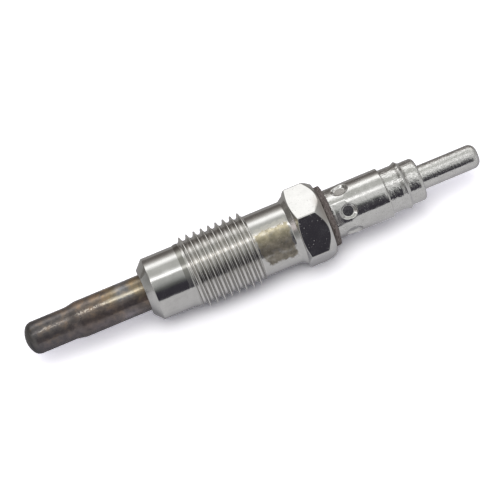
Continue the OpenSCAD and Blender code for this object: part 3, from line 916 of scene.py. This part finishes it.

# %% [markdown]
# ## Heat tints on the glow tube
# A used tube runs through the colours of heated steel: grey-black at the hot tip, brown, straw
# and a bluish grey towards the cool housing. A picture could be wrapped round it, but the colours
# sit in bands along the axis, so one ramp carries them and noise makes the borders uneven. The
# lower side is painted darker, in the tones of the scale, as painted shade.

# %% Tint the tube
tint, tree, shader = start_finish("heat tinted steel")
place, along, _, facing = rulers(tree)
cloud = noise(place, 2.6, 4)
grain = noise(place, 0.22, 3)
blotch = noise(place, 3.2, 4)
heat = ramp(
    sums("DIVIDE", plus(along, sway(cloud, 2.6)), FRONT),
    (0, (0.128, 0.118, 0.116)), (0.2, (0.15, 0.137, 0.131)), (0.42, (0.18, 0.156, 0.141)),
    (0.5, (0.212, 0.174, 0.146)), (0.66, (0.225, 0.182, 0.144)), (0.735, (0.33, 0.255, 0.16)),
    (0.775, (0.3, 0.262, 0.2)), (0.815, (0.265, 0.265, 0.27)), (0.88, (0.262, 0.257, 0.25)),
    (0.93, (0.35, 0.29, 0.19)), (1, (0.3, 0.24, 0.155)))
# painted shade: the lower side turns to the darker tones of the scale
lower = span(plus(facing, blotch, 44), 84, 58)
shaded_scale = ramp(
    cloud, (0.34, (0.122, 0.101, 0.094)), (0.5, (0.15, 0.123, 0.11)), (0.66, (0.164, 0.151, 0.164)))
heat = mixed(times(lower, span(along, 7, 12, 0.3, 0.9)), heat, shaded_scale)
patches = ramp(
    noise(place, 1.3, 4, 0.65), (0.35, (0.64, 0.66, 0.72)), (0.5, (1, 1, 1)), (0.65, (1.48, 1.3, 1.1)))
heat = mixed(span(facing, 18, 46, 0.65, 1), heat, patches, "MULTIPLY")
pitted = span(grain, 0.4, 0.3)
heat = stain(heat, pitted, (0.05, 0.044, 0.038), 0.35)
print("tinted over %.1f mm" % FRONT)

# %% [markdown]
# ## Rubbed places, smudges and painted light on the tube
# Where the tube slides through its hole, the scale is rubbed off in a thin bright line, and soot
# leaves smudges. The bright line lies where the tube shows a highlight, so it is partly a painted
# highlight, with a straw painted highlight near the housing and a dark painted shade just under it.
# The upper back near the housing and the underside get painted shade too. These could be painted
# on, but masks from the rulers need only a few numbers, and noise stretched along the tube breaks
# the line up. Scale is duller and rougher than plating.

# %% Rub and smudge the tube
tube_share = sums("DIVIDE", along, FRONT)
scratch = noise(place, 0.5, 3, stretch=(0.22, 1, 1))
# a bright line on the upper side: partly rubbed wear, partly painted highlight
line = band(plus(facing, sway(scratch, 16)), 61, 70.5, 2.5)
# a straw painted highlight on that line near the housing
straw_highlight = times(line, band(along, 13.6, 20, 0.9))
line_strength = ramp(
    tube_share, (0.09, 0), (0.14, 0.6), (0.3, 0.35), (0.37, 0.25), (0.46, 0.95), (0.66, 0.9),
    (0.76, 0.45), (0.93, 0))
rubbed_highlight = times(line, line_strength, span(noise(place, 0.24, 2), 0.51, 0.57))
# painted shade: a dark band just under the bright line
shade_under_line = times(band(facing, 43, 54, 4), span(along, 12.5, 15, 0.12, 0.45))
heat = stain(heat, shade_under_line, (0.09, 0.072, 0.066))
heat = stain(heat, rubbed_highlight, (0.68, 0.62, 0.53), 0.78)
heat = stain(heat, straw_highlight, (0.66, 0.6, 0.47), 0.52)
back_shade = times(span(facing, 68, 84), span(along, 16.5, 18.5, 0.05, 0.45))
heat = stain(heat, back_shade, (0.12, 0.1, 0.085))
# painted shade: the underside is tinted bluer and mostly darker
shade_below_tint = ramp(
    tube_share, (0.3, (0.72, 0.735, 0.81)), (0.5, (0.69, 0.71, 0.78)), (0.63, (0.76, 0.8, 0.9)),
    (0.79, (1.15, 1.22, 1.37)), (0.92, (0.77, 0.81, 0.88)))
heat = mixed(span(facing, 26, 6), heat, shade_below_tint, "MULTIPLY")
sooty_tip = span(along, 2, 0.9, 0, 0.8)
heat = stain(heat, sooty_tip, (0.082, 0.082, 0.078))
smudge = times(band(along, 7.5, 9.1, 0.5), band(facing, 44, 84, 8))
heat = stain(heat, smudge, (0.072, 0.064, 0.06), 0.8)
rough = plus(span(along, 10, 15, 0.23, 0.135), sway(scratch, 0.14))
rough = plus(plus(rough, smudge, 0.14), rubbed_highlight, -0.04)
surface(shader, heat, 0.64, rough)
bumps(shader, (blotch, 40), (grain, 16), (scratch, 9))
glow_tube.data.materials.append(tint)
print("tinted:", glow_tube.name)

# %% [markdown]
# ## Worn plating on the cap
# The cap is plated too, but sockets have been pushed on and pulled off it. It is brighter and
# grainier than the housing. By the washer a darker, duller band on the lower side is partly grime and
# partly painted shade, and the corners of its steps get painted shade. Such shade could be baked
# from the mesh, but the corners lie at known places, so plain bands are enough.

# %% Plate the cap
cap_plating, tree, shader = start_finish("worn cap plating")
place, along, radius, facing = rulers(tree)
cloud = noise(place, 1.3, 4)
grain = noise(place, 0.2, 3)
bright = ramp(cloud, (0.3, (0.58, 0.575, 0.565)), (0.7, (0.68, 0.675, 0.665)))
tarnish = span(grain, 0.4, 0.3)
bright = stain(bright, tarnish, (0.24, 0.22, 0.2), 0.55)
clean_pits = span(radius, 3.8, 3.87)  # the punches left the pits clean
# by the washer on the lower side, darker and duller: partly grime, partly painted shade
grime_and_shade = times(band(facing, 18, 44, 4), band(along, WASHER_END, PIT_ALONG - 1.4, 0.35))
grime_and_shade = times(grime_and_shade, clean_pits, span(cloud, 0.35, 0.6, 0.4, 0.9))
bright = stain(bright, grime_and_shade, (0.2, 0.18, 0.162), 0.8)
# painted shade in the corners of the steps at the skirt, the ridge and the nose
step_shade = 0
for start, end in (
        (SKIRT_END - 0.05, SKIRT_END + 0.2), (RIDGE_PEAK - 0.6, RIDGE_PEAK - 0.15),
        (RIDGE_END - 0.15, RIDGE_END + 0.3)):
    step_shade = plus(step_shade, band(along, start, end, 0.1))
step_shade = times(step_shade, band(facing, 44, 96, 6), span(cloud, 0.3, 0.55, 0.35, 0.75))
bright = stain(bright, step_shade, (0.2, 0.192, 0.182))
print("started:", cap_plating.name)

# %% [markdown]
# ## Dents and scuffs on the cap
# Neck and nose look hammered, the pin is scuffed and the pressed edge by the washer is crumpled.
# To sculpt such small marks would take a great many faces, so bumps make them: one noise for each
# place, kept there by a mask, and a stretched one for rub marks.

# %% Dent the cap
nick = span(noise(place, 0.22, 1, 0.5), 0.69, 0.74)
rough = plus(span(cloud, 0.3, 0.7, 0.09, 0.16), nick, 0.3)
surface(shader, bright, plus(1, grime_and_shade, -0.45), plus(rough, grime_and_shade, 0.16))
hammered = sums("ADD", band(along, SKIRT_END, NOSE_END, 0.25), 0.08)
hammered = times(hammered, span(facing, 38, 50, 0.4, 1))
dents = times(noise(place, 0.46, 2, 0.5), hammered)
on_pin = span(along, RIDGE_END, NOSE_END + 0.5, 0.15, 1)
on_pin = times(on_pin, span(facing, 34, 46, 0.25, 1))
scuffs = times(noise(place, 0.28, 2), on_pin)
pressed_edge = band(along, WASHER_END - 0.2, WASHER_END + 0.4, 0.12)
crumpled = times(noise(place, 0.3, 2), pressed_edge)
rub = noise(place, 0.4, 3, stretch=(0.2, 1, 1))
rings = noise(place, 1, 2, 0.5, stretch=(10, 0.5, 0.5))
bumps(shader, (cloud, 16), (dents, 66), (scuffs, 74), (crumpled, 70), (rub, 3), (rings, 1.2))
cap.data.materials.append(cap_plating)
print("plated:", cap.name)

# %% [markdown]
# ## Pressed brown board
# Phenolic board is layers of resin and fibre. On the punched edge the layers show as fine dark and
# pale lines, with paler specks where fibres stand out. Noise squeezed along the axis draws the
# layers, and a finer one the specks.

# %% Colour the washer
board, tree, shader = start_finish("brown phenolic board")
place = own_place(tree)
layers = noise(place, 0.9, 4, stretch=(5, 1, 1))
fibre = noise(place, 0.14, 3, 0.7)
brown = ramp(
    layers, (0.32, (0.06, 0.047, 0.042)), (0.5, (0.115, 0.093, 0.083)), (0.68, (0.2, 0.172, 0.155)))
pale = span(fibre, 0.56, 0.64)
brown = stain(brown, pale, (0.45, 0.41, 0.37), 0.7)
surface(shader, brown, 0, span(fibre, 0.3, 0.7, 0.5, 0.75))
bumps(shader, (layers, 40), (fibre, 25))
washer.data.materials.append(board)
print("coloured:", washer.name)

# %% [markdown]
# ## The parts inside
# Coils, powder, stud and seals are closed in and seldom seen, but the model can be cut open, so
# their solids stay and get honest finishes: oxidised wire, chalky pressed powder, drawn steel and
# rubber with a fine bloom. They differ in colours and grain, so one function makes them all.

# %% Finish the inside


def inside_finish(node, name, dark, light, grain_mm, metal, rough, depth, stretch=None):
    finish, tree, shader = start_finish(name)
    place = own_place(tree)
    grain = noise(place, grain_mm, 4, stretch=stretch)
    fine_grain = noise(place, grain_mm * 0.3, 2)
    colour = ramp(grain, (0.3, dark), (0.7, light))
    surface(shader, colour, metal, span(fine_grain, 0.3, 0.7, rough - 0.08, rough + 0.08))
    bumps(shader, (grain, depth), (fine_grain, depth * 0.5))
    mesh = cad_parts[node].data
    mesh.materials.clear()
    mesh.materials.append(finish)
    print("finished inside:", node)


ALONG_GRAIN = (0.2, 1, 1)
# node, finish, dark and light tone, grain in mm, metal, roughness, bumps in micrometres, stretch
INSIDE = (
    ("heater_coil", "oxidised heater wire", (0.16, 0.15, 0.14), (0.34, 0.31, 0.27), 0.3, 1, 0.42, 4),
    ("control_coil", "nickel control wire", (0.42, 0.4, 0.36), (0.6, 0.57, 0.52), 0.35, 1, 0.32, 3),
    ("insulating_powder", "pressed magnesia", (0.62, 0.6, 0.55), (0.8, 0.78, 0.73), 0.25, 0, 0.88, 18),
    ("terminal_stud", "drawn stud steel", (0.36, 0.35, 0.34), (0.54, 0.53, 0.51), 0.45, 1, 0.3, 3,
     ALONG_GRAIN),
    ("tube_seal", "red brown seal rubber", (0.09, 0.04, 0.028), (0.15, 0.07, 0.05), 0.4, 0, 0.62, 10),
    ("o_ring", "black ring rubber", (0.012, 0.012, 0.013), (0.03, 0.029, 0.028), 0.3, 0, 0.55, 8))
for row in INSIDE:
    inside_finish(*row)
